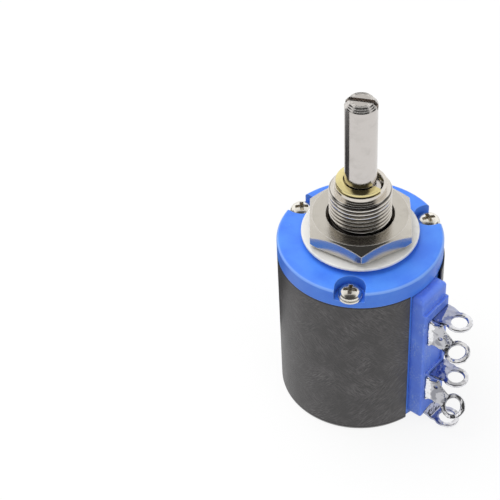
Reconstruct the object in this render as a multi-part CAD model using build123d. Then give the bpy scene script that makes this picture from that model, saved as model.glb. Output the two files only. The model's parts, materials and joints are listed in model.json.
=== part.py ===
from build123d import *
import os
from math import cos, degrees, pi, radians, sin, sqrt

# A wirewound multiturn potentiometer: a moulded body with a threaded bushing on its
# front cover, five solder lugs on a terminal block down one side, and inside it a
# rotor whose wiper carriage climbs a helical resistance coil as the shaft turns.
# Millimetres. The axis of the shaft is Z and the shaft points up. The origin is the
# centre of the base, and the terminal block is on the +X side.

# Clearances
run_gap = 0.04          # radial gap of a turning or sliding fit
seat_gap = 0.02         # gap round a piece that is pushed into its seat
end_play = 0.05         # axial gap between turning and fixed faces
free_gap = 0.1          # gap round something that must never rub

# Body
body_r = 10.5           # outside of the printed sleeve
body_top = 23.0         # where the front cover sits on the housing
sleeve_t = 0.2
sleeve_curl_r = 0.45    # the sleeve's lower edge rolls in by this radius
sleeve_lift = 1.2       # how much wider than the body the loose end curls
sleeve_lift_from = 62.0  # degrees from the terminal block where it starts to lift
sleeve_end_angle = 16.7  # degrees from the terminal block where each end stops
sleeve_end_gap = 0.05   # above the floor, and below the front cover
housing_wall_t = 1.38
collar_h = 2.5          # ledge at the top of the housing that takes the screws
collar_wall_t = 1.0     # inside the screw holes

# Rear cover
rear_t = 0.9
rear_edge_r = 0.3
rear_spigot_h = 1.3
rear_spigot_t = 0.9
rear_spigot_gap_angle = 22.0
pivot_boss_t = 1.06
pivot_boss_h = 0.8
pivot_floor_t = 0.4

# Front cover
cover_t = 2.5
cover_edge_r = 0.5
cover_spigot_t = 1.2
cover_spigot_h = 0.9
boss_r = 6.2
boss_h = 0.6

# Cover screws, three of them round the rim
screw_count = 3
screw_first_angle = 60.0
screw_inset = 1.1       # from the rim to the screw's axis
screw_r = 0.8
screw_head_r = 1.5
screw_head_h = 1.2
screw_head_edge_r = 0.3
screw_bite = 2.2        # length of thread in the housing
cross_l = 1.7
cross_w = 0.36
cross_d = 0.55
notch_gap = 0.4         # between a screw head and the side of its notch
notch_floor_t = 0.95

# Bushing
bushing_r = 3.9         # over the thread
bushing_reach = 8.1     # nose above the mounting face
thread_depth = 0.2      # from the crest to where the nut and the bushing meet
bushing_mouth = 0.3     # countersink at the nose
nose_step = 0.65
nose_h = 0.8
thread_chamfer = 0.25
bushing_flange_w = 1.7
bushing_flange_t = 1.3
bushing_flat_d = 1.0    # the flat on the flange stops it turning

# Panel washer and nut
washer_r = 7.4
washer_t = 0.45
washer_edge_r = 0.15
nut_across_flats = 12.5
nut_t = 2.6
nut_collar_t = 0.5      # the turned collar below the hexagon
nut_collar_inset = 0.35  # how far inside the flats the collar is
nut_top_inset = 0.25    # where the top chamfer starts, inside the flats
nut_bottom_chamfer = 0.43  # how far the bottom chamfer reaches in from a corner
nut_chamfer_slope = 0.68
nut_countersink = 0.56
nut_turn = 8.5          # degrees, where one corner points

# Shaft
shaft_r = 2.0
shaft_reach = 12.5      # beyond the bushing's nose
shaft_tip_chamfer = 0.5
shaft_tip_h = 0.6
journal_step = 0.5      # how much thicker the shaft is where it runs in the bushing
shaft_shoulder_w = 0.6
shaft_shoulder_t = 0.7
shaft_root_step = 0.4   # how much thinner it is where the rotor grips it
shaft_root_l = 4.5
slot_w = 0.7
slot_d = 1.0
slot_angle = 25.6
groove_d = 0.3
clip_t = 0.45
clip_w = 1.33
clip_opening = 95.0     # degrees
clip_turn = 47.0        # degrees, middle of the opening
thrust_washer_t = 0.25
thrust_washer_w = 1.68

# Resistance coil: a wound mandrel coiled inside the housing
turns = 5
mandrel_r = 0.55
coil_spare = 10.0       # degrees of coil past the travel at each end
wiper_angle = 180.0     # where the wiper points at mid travel

# Rotor
disc_t = 0.7
disc_gap = 0.4          # inside the housing's collar
rotor_rear_gap = 0.4    # between the pivot's boss and the slip ring
rotor_neck_w = 0.1
pivot_r = 1.5
rod_r = 0.45
rod_wall_t = 0.3        # carriage wall inside the rod
rod_cover_t = 0.85      # rotor wall outside the rod
slot_floor_t = 0.55     # wall between the shaft and the carriage's slot
carriage_w = 1.9
carriage_h = 2.0
prong_l = 1.5
slip_ring_inset = 1.6
slip_ring_w = 2.6
slip_ring_t = 0.3

# Wiper blade
blade_t = 0.2
blade_h = 0.8

# Slip ring brush
brush_t = 0.15
brush_w = 1.0
brush_root_gap = 1.0    # inside the housing's bore
brush_foot_l = 1.3
brush_arm_l = 2.5
brush_y = 0.8

# Terminal block
block_w = 5.0
block_seat_d = 0.48     # depth of its seat in the housing
block_t = 2.2
block_bottom = 1.4
block_top_drop = 0.5    # below the front cover
block_head_h = 2.4
block_head_step = 0.35  # the head of the block is set back
block_ridge_d = 0.1
block_corner_r = 0.7
block_edge_r = 0.25
block_pocket_d = 0.3
block_pocket_edge = 0.7
lead_t = 0.25
lead_w = 0.8
lead_channel_d = 0.42

# Solder lugs
lug_t = 0.4
lug_ring_r = 1.65
lug_hole_r = 1.05
lug_base_w = 3.4
wide_base_w = 4.3       # base of the upright lugs and of the last lug
lug_neck_w = 2.3
lug_shoulder_l = 1.0    # length of the wide base outside the block
lug_tail_w = 1.2
lug_reach = 2.95        # ring centre from the block's face
upright_plate_l = 1.7   # length of the upright base outside the block
upright_plate_w = 4.2   # its width at the far end
upright_plate_inset = 0.35  # its far end back towards the middle of the block
upright_neck_w = 2.0    # where the neck runs into the ring
upright_neck_t = 0.3
upright_reach = 3.85
upright_drop = 1.7      # ring centre below the middle of the base
upright_inset = 0.8     # ring centre back towards the middle of the block
front_tap_twist = 75.0  # degrees from upright to the plane of the ring
rear_tap_twist = 49.5
upright_y = -1.6
neck_sections = 7       # sections that carry the twist of an upright lug's neck
upright_pip_r = 0.28
front_tap_pip = (1.6, -0.2)  # out from the block, and above the middle of the base
rear_tap_pip = (1.4, 0.95)
flat_y = 0.7
front_end_drop = 3.95   # level below the top of the block
front_tap_drop = 5.8
wiper_lug_rise = 6.9    # level above the bottom of the block
rear_tap_rise = 5.0
rear_end_rise = 0.25
rear_end_y = -0.6
rear_end_drop = 1.2     # the last lug is bent down towards the base
rear_end_reach = 2.35
rear_end_bend_w = 3.0
rear_end_ring_y = 0.3

# Radii that follow from the sizes above, from the outside in
housing_r = body_r - sleeve_t - seat_gap
housing_bore_r = housing_r - housing_wall_t
coil_r = housing_bore_r - end_play - mandrel_r
screw_circle_r = body_r - screw_inset
collar_r = screw_circle_r - screw_r - collar_wall_t
disc_r = collar_r - disc_gap
slip_ring_r = disc_r - slip_ring_inset
slip_ring_bore_r = slip_ring_r - slip_ring_w
nose_r = bushing_r - nose_step
bushing_flange_r = bushing_r + bushing_flange_w
nut_corner_r = nut_across_flats / sqrt(3)
thread_grip_r = bushing_r - thread_depth
journal_r = shaft_r + journal_step
shaft_root_r = shaft_r - shaft_root_step
shaft_shoulder_r = journal_r + shaft_shoulder_w
groove_r = shaft_r - groove_d
clip_bore_r = groove_r + seat_gap
slot_floor_r = shaft_r + slot_floor_t
rod_circle_r = slot_floor_r + free_gap + rod_wall_t + rod_r
barrel_r = rod_circle_r + rod_r + rod_cover_t

# Places along X on the terminal side
block_seat_x = housing_r - block_seat_d
block_face_x = block_seat_x + block_t
block_ridge_x = block_face_x + block_ridge_d
block_head_x = block_face_x - block_head_step
lead_x = block_seat_x - lead_channel_d
tail_x = lead_x + lead_t
lug_face_x = block_face_x + seat_gap
brush_root_x = housing_bore_r - brush_root_gap
brush_bend_x = brush_root_x - brush_foot_l
brush_tip_x = brush_bend_x - brush_arm_l
coil_touch_x = coil_r + mandrel_r + seat_gap

# Levels
collar_z = body_top - collar_h
cover_top = body_top + cover_t
notch_floor_z = body_top + notch_floor_t
screw_end_z = body_top - screw_bite
mount_z = cover_top + boss_h
nut_z = mount_z + washer_t
nut_top = nut_z + nut_t
thread_z = nut_top + free_gap
thread_top = mount_z + bushing_reach - nose_h
nose_z = mount_z + bushing_reach
tip_z = nose_z + shaft_reach
clip_z = nose_z + end_play
clip_top = clip_z + clip_t
bushing_z = body_top + free_gap
thrust_z = bushing_z - end_play - thrust_washer_t
shoulder_z = thrust_z - shaft_shoulder_t
pivot_boss_z = rear_t + pivot_boss_h
slip_ring_z = pivot_boss_z + rotor_rear_gap
rear_disc_z = slip_ring_z + slip_ring_t
rear_disc_top = rear_disc_z + disc_t
front_disc_z = collar_z + free_gap
front_disc_top = front_disc_z + disc_t
rod_top = front_disc_z + disc_t / 2
carriage_room = front_disc_z - rear_disc_top - 5 * free_gap
travel = carriage_room - carriage_h
pitch = travel / turns
coil_mid = rear_disc_top + 2 * free_gap + carriage_room / 2
brush_z = slip_ring_z - lead_t - brush_t - 2 * end_play
block_top = body_top - block_top_drop
block_head_bottom = block_top - block_head_h
front_end_z = block_top - front_end_drop
front_tap_z = block_top - front_tap_drop
wiper_lug_z = block_bottom + wiper_lug_rise
rear_tap_z = block_bottom + rear_tap_rise
rear_end_z = block_bottom + rear_end_rise
screw_angles = [screw_first_angle + 360 / screw_count * i for i in range(screw_count)]

BASE = (Align.CENTER, Align.CENTER, Align.MIN)
LOW = (Align.MIN, Align.MIN, Align.MIN)


def disc(radius, low, high):
    """A solid cylinder on the axis, between two levels."""
    return Pos(0, 0, low) * Cylinder(radius, high - low, align=BASE)


def ring(outer, inner, low, high):
    """A plain ring on the axis, between two levels."""
    return disc(outer, low, high) - disc(inner, low, high)


def bar(x_low, x_high, y_mid, width, low, high):
    """A rectangular bar along X, centred on y_mid."""
    corner = Pos(x_low, y_mid - width / 2, low)
    return corner * Box(x_high - x_low, width, high - low, align=LOW)


def turned(*points):
    """A solid turned from a profile of (radius, level) points."""
    profile = Plane.XZ * make_face(Polyline(*points, close=True))
    return revolve(profile, Axis.Z)


def wedge(radius, half_angle, low, high):
    """A pie slice about the +X direction, for angles up to 90 degrees."""
    reach = radius / cos(radians(half_angle))
    side = reach * sin(radians(half_angle))
    outline = Polyline((0, 0), (radius, -side), (radius, side), close=True)
    return Pos(0, 0, low) * extrude(make_face(outline), high - low)


def around(angle, radius):
    """A place on a circle round the axis."""
    return Rot(0, 0, angle) * Pos(radius, 0, 0)


def coil_level(y, high_end):
    """Level of the coil's last turn where it passes y on the terminal side."""
    angle = degrees(y / coil_r)
    return coil_mid + (travel / 2 if high_end else -travel / 2) + pitch * angle / 360


def tap_level(y, near):
    """Level of the coil turn that passes y nearest to a wanted level."""
    first = coil_level(y, False)
    return first + pitch * round((near - first) / pitch)


# The five ways from a lug to what it feeds: lug level, Y place, level of the inner
# tab, and how far in the tab reaches.
routes = {
    "front_end": (front_end_z, flat_y, coil_level(flat_y, True), coil_touch_x),
    "front_tap": (front_tap_z, upright_y, tap_level(upright_y, front_tap_z), coil_touch_x),
    "wiper": (wiper_lug_z, brush_y, slip_ring_z - lead_t / 2 - end_play, brush_bend_x),
    "rear_tap": (rear_tap_z, upright_y, tap_level(upright_y, rear_tap_z), coil_touch_x),
    "rear_end": (rear_end_z, rear_end_y, coil_level(rear_end_y, False), coil_touch_x),
}
upright_lugs = {"front_tap": (front_tap_twist, front_tap_pip),
                "rear_tap": (rear_tap_twist, rear_tap_pip)}


def lead_strip(name, x_high, grow):
    """Upright strip of one lead out to x_high, swollen by grow to make its channel."""
    lug_z, y, tab_z, tab_x = routes[name]
    low = min(lug_z, tab_z) - lead_t / 2
    high = max(lug_z, tab_z) + lead_t / 2
    return bar(lead_x - grow, x_high, y, lead_w + 2 * grow, low - grow, high + grow)


def lead_tab(name, grow):
    """Inner tab of one lead, swollen by grow to make its channel."""
    lug_z, y, tab_z, tab_x = routes[name]
    low = tab_z - lead_t / 2
    return bar(tab_x, tail_x, y, lead_w + 2 * grow, low - grow, low + lead_t + grow)


def lug_tail(name, x_high, grow):
    """Tail of one lug from its lead out to x_high, swollen by grow to make its slot."""
    lug_z, y, tab_z, tab_x = routes[name]
    wide, high = lug_tail_w, lug_t
    if name in upright_lugs:
        wide, high = lug_t, lug_tail_w
    return bar(tail_x, x_high, y, wide + 2 * grow,
               lug_z - high / 2 - grow, lug_z + high / 2 + grow)


def housing():
    """Moulded tube with a ledge at the top and a flat seat for the terminal block."""
    body = ring(housing_r, housing_bore_r, rear_t, body_top)
    body += ring(housing_bore_r + seat_gap, collar_r, collar_z, body_top)
    body -= bar(block_seat_x, body_r, 0, block_w + 2 * seat_gap,
                block_bottom - seat_gap, block_top + seat_gap)
    for name in routes:
        body -= lead_strip(name, block_seat_x, seat_gap)
        body -= lead_tab(name, seat_gap)
        body -= lug_tail(name, block_seat_x, seat_gap)
    for angle in screw_angles:
        hole = disc(screw_r + seat_gap, screw_end_z - free_gap, body_top)
        body -= around(angle, screw_circle_r) * hole
    return body


def sleeve():
    """Thin black sleeve round the housing, open at the terminal block."""
    inner = body_r - sleeve_t
    low = sleeve_end_gap
    mid = low + sleeve_curl_r
    top = body_top - sleeve_end_gap
    turn = body_r - sleeve_curl_r
    wall = make_face(Polyline((inner, mid), (body_r, mid), (body_r, top), (inner, top), close=True))
    curl = Pos(turn, mid) * (Circle(sleeve_curl_r) - Circle(sleeve_curl_r - sleeve_t))
    curl &= Pos(turn, low) * Rectangle(sleeve_curl_r, sleeve_curl_r, align=(Align.MIN, Align.MIN))
    sweep_angle = 360 - sleeve_lift_from - sleeve_end_angle
    wrap = revolve(Plane.XZ * (wall + curl), Axis.Z, sweep_angle)
    wrap = Rot(0, 0, sleeve_lift_from) * wrap
    # the loose end follows a larger circle that touches the body where it starts
    arc = sleeve_lift_from - sleeve_end_angle
    loose = ring(body_r + sleeve_lift, inner + sleeve_lift, low, top)
    loose = Pos(-sleeve_lift, 0, 0) * loose
    reach = 2 * body_r
    far = (reach * cos(radians(arc)), -reach * sin(radians(arc)))
    cut = Polyline((0, 0), (reach, 0), (reach, far[1]), far, close=True)
    loose &= extrude(make_face(cut), top)
    return wrap + Rot(0, 0, sleeve_lift_from) * loose


def block_bar(face_x, low, high):
    """One length of the terminal block, with its two outer corners rounded."""
    body = bar(block_seat_x, face_x, 0, block_w, low, high)
    front = body.edges().filter_by(Axis.Z).group_by(Axis.X)[-1]
    return fillet(front, block_edge_r)


def terminal_block():
    """Moulded block that carries the five lugs."""
    ridge_low = front_end_z + lug_t / 2 + seat_gap
    head = block_bar(block_head_x, block_head_bottom, block_top)
    corner = head.edges().filter_by(Axis.X).group_by(Axis.Z)[-1].sort_by(Axis.Y)[-1]
    head = fillet(corner, block_corner_r)
    body = block_bar(block_face_x, block_bottom, ridge_low)
    body += block_bar(block_ridge_x, ridge_low, block_head_bottom)
    body += head
    for name in routes:
        body -= lug_tail(name, block_ridge_x, seat_gap)
    # a shallow pocket in the face, between the two middle lugs
    pocket_low = wiper_lug_z + block_pocket_edge
    pocket_high = front_tap_z - wide_base_w / 2 - block_pocket_edge
    return body - bar(block_face_x - block_pocket_d, block_ridge_x, 0,
                      block_w - 2 * block_pocket_edge, pocket_low, pocket_high)


def front_cover():
    """Cover with a raised mounting face, a bushing pocket and three screw notches."""
    body = disc(body_r, body_top, cover_top)
    body = fillet(body.edges().group_by(Axis.Z)[-1], cover_edge_r)
    body += disc(boss_r, cover_top, mount_z)
    spigot_r = collar_r - seat_gap
    body += ring(spigot_r, spigot_r - cover_spigot_t, body_top - cover_spigot_h, body_top)
    body -= disc(bushing_r + seat_gap, body_top, mount_z)
    pocket_r = bushing_flange_r + seat_gap
    pocket = disc(pocket_r, body_top, bushing_z + bushing_flange_t)
    body -= pocket - bar(pocket_r - bushing_flat_d, body_r, 0, 2 * body_r, body_top, mount_z)
    notch_r = screw_head_r + notch_gap
    for angle in screw_angles:
        notch = disc(notch_r, notch_floor_z, cover_top)
        notch += bar(0, body_r, 0, 2 * notch_r, notch_floor_z, cover_top)
        place = around(angle, screw_circle_r)
        body -= place * notch
        body -= place * disc(screw_r + free_gap, body_top, notch_floor_z)
    return body


def rear_cover():
    """Base disc with a spigot, a pivot bearing and the post of the slip ring brush."""
    flange_r = body_r - sleeve_curl_r - seat_gap
    body = fillet(disc(flange_r, 0, rear_t).edges().group_by(Axis.Z)[0], rear_edge_r)
    spigot_r = housing_bore_r - seat_gap
    spigot_top = rear_t + rear_spigot_h
    spigot = ring(spigot_r, spigot_r - rear_spigot_t, rear_t, spigot_top)
    body += spigot - wedge(2 * body_r, rear_spigot_gap_angle, rear_t, spigot_top)
    pivot_bore_r = pivot_r + run_gap
    body += disc(pivot_bore_r + pivot_boss_t, rear_t, pivot_boss_z)
    body -= disc(pivot_bore_r, pivot_floor_t, pivot_boss_z)
    body += bar(brush_bend_x, brush_root_x, brush_y, brush_w, rear_t, brush_z)
    return body


def bushing():
    """Threaded bushing with a flange that is trapped under the front cover."""
    flange_top = bushing_z + bushing_flange_t
    body = turned((0, bushing_z), (bushing_flange_r, bushing_z), (bushing_flange_r, flange_top),
                  (bushing_r, flange_top), (bushing_r, mount_z), (thread_grip_r, mount_z),
                  (thread_grip_r, thread_z), (bushing_r, thread_z),
                  (bushing_r, thread_top - thread_chamfer),
                  (bushing_r - thread_chamfer, thread_top), (nose_r, thread_top),
                  (nose_r, nose_z), (0, nose_z))
    body -= bar(bushing_flange_r - bushing_flat_d, body_r, 0, 2 * body_r, bushing_z, flange_top)
    bore_r = journal_r + run_gap
    mouth_r = bore_r + bushing_mouth
    return body - turned((0, bushing_z), (bore_r, bushing_z), (bore_r, nose_z - bushing_mouth),
                         (mouth_r, nose_z), (0, nose_z))


def panel_washer():
    """Flat washer on the mounting face."""
    hole_r = bushing_r + free_gap
    body = ring(washer_r, hole_r, mount_z, nut_z)
    rims = body.edges().filter_by(GeomType.CIRCLE).filter_by(lambda e: e.radius > hole_r + free_gap)
    return fillet(rims, washer_edge_r)


def hex_nut():
    """Hexagon nut on a turned collar, chamfered on both faces and countersunk."""
    hexagon = extrude(RegularPolygon(nut_corner_r, 6, rotation=nut_turn), nut_t)
    collar_r = nut_across_flats / 2 - nut_collar_inset
    hexagon_z = nut_z + nut_collar_t
    top_r = nut_across_flats / 2 - nut_top_inset
    low_r = nut_corner_r - nut_bottom_chamfer
    low_rise = nut_bottom_chamfer * nut_chamfer_slope
    high_fall = (nut_corner_r - top_r) * nut_chamfer_slope
    blank = turned((0, nut_z), (collar_r, nut_z), (collar_r, hexagon_z), (low_r, hexagon_z),
                   (nut_corner_r, hexagon_z + low_rise), (nut_corner_r, nut_top - high_fall),
                   (top_r, nut_top), (0, nut_top))
    hole_r = thread_grip_r + run_gap
    mouth = hole_r + nut_countersink
    hole = turned((0, nut_z), (mouth, nut_z), (hole_r, nut_z + nut_countersink),
                  (hole_r, nut_top - nut_countersink), (mouth, nut_top), (0, nut_top))
    return (Pos(0, 0, nut_z) * hexagon & blank) - hole


def cover_screws():
    """The three cross-head screws of the front cover."""
    head_top = notch_floor_z + screw_head_h
    head = disc(screw_head_r, notch_floor_z, head_top)
    head = fillet(head.edges().group_by(Axis.Z)[-1], screw_head_edge_r)
    screw = head + disc(screw_r, screw_end_z, notch_floor_z)
    cross = Box(cross_l, cross_w, cross_d) + Box(cross_w, cross_l, cross_d)
    screw -= Pos(0, 0, head_top - cross_d / 2) * cross
    return Compound(children=[around(angle, screw_circle_r) * screw for angle in screw_angles])


def shaft():
    """Slotted shaft with a shoulder, a clip groove and a root that the rotor grips."""
    root_z = shoulder_z - shaft_root_l
    groove_top = clip_top + free_gap
    body = turned((0, root_z), (shaft_root_r, root_z), (shaft_root_r, shoulder_z),
                  (shaft_shoulder_r, shoulder_z), (shaft_shoulder_r, thrust_z),
                  (journal_r, thrust_z), (journal_r, clip_z), (groove_r, clip_z),
                  (groove_r, groove_top), (shaft_r, groove_top),
                  (shaft_r, tip_z - shaft_tip_h), (shaft_r - shaft_tip_chamfer, tip_z), (0, tip_z))
    slot = bar(-2 * shaft_r, 2 * shaft_r, 0, slot_w, tip_z - slot_d, tip_z)
    return body - Rot(0, 0, slot_angle) * slot


def retaining_clip():
    """Open ring that snaps into the shaft's groove above the bushing."""
    clip_r = clip_bore_r + clip_w
    opening = wedge(2 * clip_r, clip_opening / 2, clip_z, clip_top)
    return ring(clip_r, clip_bore_r, clip_z, clip_top) - Rot(0, 0, clip_turn) * opening


def thrust_washer():
    """Thin washer between the shaft's shoulder and the bushing."""
    bore_r = journal_r + seat_gap
    return ring(bore_r + thrust_washer_w, bore_r, thrust_z, thrust_z + thrust_washer_t)


def rotor():
    """Slotted barrel between two discs, with a pivot at the rear."""
    body = disc(pivot_r, pivot_floor_t + end_play, rear_disc_z)
    body += disc(disc_r, rear_disc_z, rear_disc_top)
    body += disc(barrel_r, rear_disc_top, front_disc_z)
    body += disc(disc_r, front_disc_z, front_disc_top)
    body += disc(shaft_shoulder_r + rotor_neck_w, front_disc_top, shoulder_z)
    body -= disc(shaft_root_r + seat_gap, shoulder_z - shaft_root_l - seat_gap, shoulder_z)
    slot = bar(slot_floor_r, 2 * barrel_r, 0, carriage_w + 2 * run_gap,
               rear_disc_top, front_disc_z)
    hole = Pos(rod_circle_r, 0, 0) * disc(rod_r + seat_gap, rear_disc_z, rod_top)
    return body - Rot(0, 0, wiper_angle) * (slot + hole)


def collector_rod():
    """Rod that guides the carriage and carries its current to the slip ring."""
    return around(wiper_angle, rod_circle_r) * disc(rod_r, rear_disc_z, rod_top)


def slip_ring():
    """Contact ring on the rear face of the rotor."""
    return ring(slip_ring_r, slip_ring_bore_r, slip_ring_z, rear_disc_z)


def wiper_carriage():
    """Carriage that slides on the rod and is steered by the coil between its prongs."""
    inner = coil_r - mandrel_r
    low = coil_mid - carriage_h / 2
    high = coil_mid + carriage_h / 2
    slope_rise = carriage_w / 2 * pitch / (2 * pi * coil_r)
    mouth = 2 * (mandrel_r + slope_rise + 2 * run_gap)
    fork = inner - prong_l / 2
    body = bar(slot_floor_r + free_gap, fork + prong_l, 0, carriage_w, low, high)
    body -= bar(fork, 2 * coil_r, 0, carriage_w, coil_mid - mouth / 2, coil_mid + mouth / 2)
    body -= Pos(rod_circle_r, 0, 0) * disc(rod_r + run_gap, low, high)
    body -= bar(rod_circle_r, inner, 0, blade_t + 2 * seat_gap,
                coil_mid - blade_h / 2 - seat_gap, coil_mid + blade_h / 2 + seat_gap)
    return Rot(0, 0, wiper_angle) * body


def wiper_blade():
    """Contact blade between the collector rod and the coil."""
    blade = bar(rod_circle_r + rod_r + run_gap, coil_r - mandrel_r - run_gap, 0, blade_t,
                coil_mid - blade_h / 2, coil_mid + blade_h / 2)
    return Rot(0, 0, wiper_angle) * blade


def resistance_coil():
    """Wound mandrel in a right-hand helix against the housing wall."""
    sweep_turns = turns + 2 * coil_spare / 360
    path = Helix(pitch, pitch * sweep_turns, coil_r)
    section = Plane(origin=path @ 0, z_dir=path % 0) * Circle(mandrel_r)
    coil = sweep(section, path, is_frenet=True)
    start = wiper_angle - 180 * turns - coil_spare
    return Pos(0, 0, coil_mid - pitch * sweep_turns / 2) * (Rot(0, 0, start) * coil)


def brush():
    """Bent strip that bears on the slip ring."""
    tip = slip_ring_z - end_play
    outline = Polyline((brush_root_x, brush_z), (brush_root_x, brush_z + brush_t),
                       (brush_bend_x, brush_z + brush_t), (brush_tip_x, tip),
                       (brush_tip_x, tip - brush_t), (brush_bend_x, brush_z), close=True)
    strip = extrude(Plane.XZ * make_face(outline), brush_w / 2, both=True)
    return Pos(0, brush_y, 0) * strip


def lead(name):
    """Strip that joins the tail of one lug to the coil or to the brush."""
    return lead_strip(name, tail_x, 0) + lead_tab(name, 0)


def lug_plan(base_w, shoulder_x, shoulder_w, ring_x):
    """Flat outline of a lug from the block's face to its ring, with the hole cut."""
    base, shoulder, neck = base_w / 2, shoulder_w / 2, lug_neck_w / 2
    outline = Polyline((lug_face_x, -base), (shoulder_x, -shoulder), (ring_x, -neck),
                       (ring_x, neck), (shoulder_x, shoulder), (lug_face_x, base), close=True)
    plan = make_face(outline) + Pos(ring_x, 0) * Circle(lug_ring_r)
    return plan - Pos(ring_x, 0) * Circle(lug_hole_r)


def flat_lug(name):
    """Lug that leaves the block level with the base."""
    lug_z, y, tab_z, tab_x = routes[name]
    plan = lug_plan(lug_base_w, lug_face_x + lug_shoulder_l, lug_base_w, block_face_x + lug_reach)
    blade = Pos(0, y, lug_z - lug_t / 2) * extrude(plan, lug_t)
    return blade + lug_tail(name, lug_face_x, 0)


def bent_lug(name):
    """Lug whose ring is bent down towards the base."""
    lug_z, y, tab_z, tab_x = routes[name]
    ring_x = block_face_x + rear_end_reach
    bend = ring_x - lug_ring_r
    tip = ring_x + lug_ring_r
    high, low = lug_z + lug_t / 2, lug_z - lug_t / 2
    side = Polyline((lug_face_x, high), (bend, high - rear_end_drop), (tip, high - rear_end_drop),
                    (tip, low - rear_end_drop), (bend, low - rear_end_drop), (lug_face_x, low),
                    close=True)
    strip = extrude(Plane.XZ * make_face(side), wide_base_w / 2, both=True)
    plan = lug_plan(wide_base_w, bend, rear_end_bend_w, ring_x)
    blade = strip & extrude(plan, high)
    return Pos(0, rear_end_ring_y, 0) * blade + lug_tail(name, lug_face_x, 0)


def upright_lug(name):
    """Lug whose base stands on edge and whose ring is twisted towards level."""
    lug_z, y, tab_z, tab_x = routes[name]
    twist, (pip_out, pip_up) = upright_lugs[name]
    ring_x = block_face_x + upright_reach
    ring_y = y + upright_inset
    ring_z = lug_z - upright_drop
    ring_place = Pos(ring_x, ring_y, ring_z) * Rot(90 - twist, 0, 0)
    plate_end = Vector(lug_face_x + upright_plate_l, y + upright_plate_inset, lug_z)
    neck_run = Vector(ring_x - lug_hole_r, ring_y, ring_z) - plate_end
    sections = [Plane(origin=(lug_face_x, y, lug_z), x_dir=(0, 1, 0), z_dir=(1, 0, 0))
                * Rectangle(lug_t, wide_base_w)]
    for step in range(neck_sections):
        share = step / (neck_sections - 1)
        turn = radians(twist * share ** 2)
        width = upright_neck_w + (upright_plate_w - upright_neck_w) * (1 - share) ** 2
        thickness = lug_t + (upright_neck_t - lug_t) * share
        place = Plane(origin=plate_end + neck_run * share,
                      x_dir=(0, cos(turn), -sin(turn)), z_dir=(1, 0, 0))
        sections.append(place * Rectangle(thickness, width))
    blade = loft(sections, ruled=True)
    pip = Pos(lug_face_x + pip_out, y, lug_z + pip_up) * Rot(90, 0, 0)
    hole = ring_place * Cylinder(lug_hole_r, 4 * lug_t)
    eye = ring_place * Cylinder(lug_ring_r, lug_t) - hole
    blade = blade - hole - pip * Cylinder(upright_pip_r, 4 * lug_t)
    return blade + eye + lug_tail(name, lug_face_x, 0)


os.makedirs("parts", exist_ok=True)
nodes = {
    "housing": housing(),
    "sleeve": sleeve(),
    "terminal_block": terminal_block(),
    "front_cover": front_cover(),
    "rear_cover": rear_cover(),
    "bushing": bushing(),
    "panel_washer": panel_washer(),
    "hex_nut": hex_nut(),
    "cover_screws": cover_screws(),
    "shaft": shaft(),
    "retaining_clip": retaining_clip(),
    "thrust_washer": thrust_washer(),
    "rotor": rotor(),
    "collector_rod": collector_rod(),
    "slip_ring": slip_ring(),
    "wiper_carriage": wiper_carriage(),
    "wiper_blade": wiper_blade(),
    "resistance_coil": resistance_coil(),
    "slip_ring_brush": brush(),
    "front_end_lug": flat_lug("front_end"),
    "front_tap_lug": upright_lug("front_tap"),
    "wiper_lug": flat_lug("wiper"),
    "rear_tap_lug": upright_lug("rear_tap"),
    "rear_end_lug": bent_lug("rear_end"),
}
for name in routes:
    nodes[name + "_lead"] = lead(name)
for name, shape in nodes.items():
    export_step(shape, f"parts/{name}.step")
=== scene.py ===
"""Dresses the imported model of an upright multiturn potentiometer.

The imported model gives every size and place. This script adds the camera, the lamps, the
thread, the tinned lugs and the other small forms, and a finish for every piece.
"""

from __future__ import annotations

import json
import logging
import math
from dataclasses import dataclass, field
from enum import Enum
from typing import Any, Sequence

import bpy
from mathutils import Matrix, Vector

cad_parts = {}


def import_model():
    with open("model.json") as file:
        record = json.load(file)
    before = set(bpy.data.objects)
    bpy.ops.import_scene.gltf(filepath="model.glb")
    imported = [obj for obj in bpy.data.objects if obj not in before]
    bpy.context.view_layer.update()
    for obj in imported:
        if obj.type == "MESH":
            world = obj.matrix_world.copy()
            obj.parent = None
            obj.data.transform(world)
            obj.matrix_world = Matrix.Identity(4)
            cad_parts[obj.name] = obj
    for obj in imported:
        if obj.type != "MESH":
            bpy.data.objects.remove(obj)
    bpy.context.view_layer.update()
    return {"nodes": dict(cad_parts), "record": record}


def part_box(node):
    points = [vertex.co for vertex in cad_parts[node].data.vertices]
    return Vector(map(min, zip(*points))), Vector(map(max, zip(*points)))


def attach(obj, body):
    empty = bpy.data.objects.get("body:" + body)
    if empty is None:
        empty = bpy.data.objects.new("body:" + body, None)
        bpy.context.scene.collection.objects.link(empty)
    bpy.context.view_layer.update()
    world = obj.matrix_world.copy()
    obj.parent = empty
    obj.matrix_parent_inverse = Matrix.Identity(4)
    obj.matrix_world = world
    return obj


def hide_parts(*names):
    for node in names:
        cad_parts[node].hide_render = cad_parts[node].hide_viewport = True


LOG = logging.getLogger("potentiometer")
MM = 0.001
Colour = tuple[float, float, float]
Step = tuple[float, float]
Corner = tuple[float, float]
WHITE: Colour = (1.0, 1.0, 1.0)
BLACK: Colour = (0.0, 0.0, 0.0)


def tint(red: int, green: int, blue: int) -> Colour:
    """Turns a display colour, 0 to 255 a channel, into the linear one that shaders use.

    Args:
        red: Red channel.
        green: Green channel.
        blue: Blue channel.

    Returns:
        The linear colour.
    """
    def linear(channel: int) -> float:
        """One channel."""
        share = channel / 255
        return share / 12.92 if share <= 0.04045 else ((share + 0.055) / 1.055) ** 2.4

    return linear(red), linear(green), linear(blue)


def dimmed(colour: Colour, share: float) -> Colour:
    """A share of a colour."""
    return colour[0] * share, colour[1] * share, colour[2] * share


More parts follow.
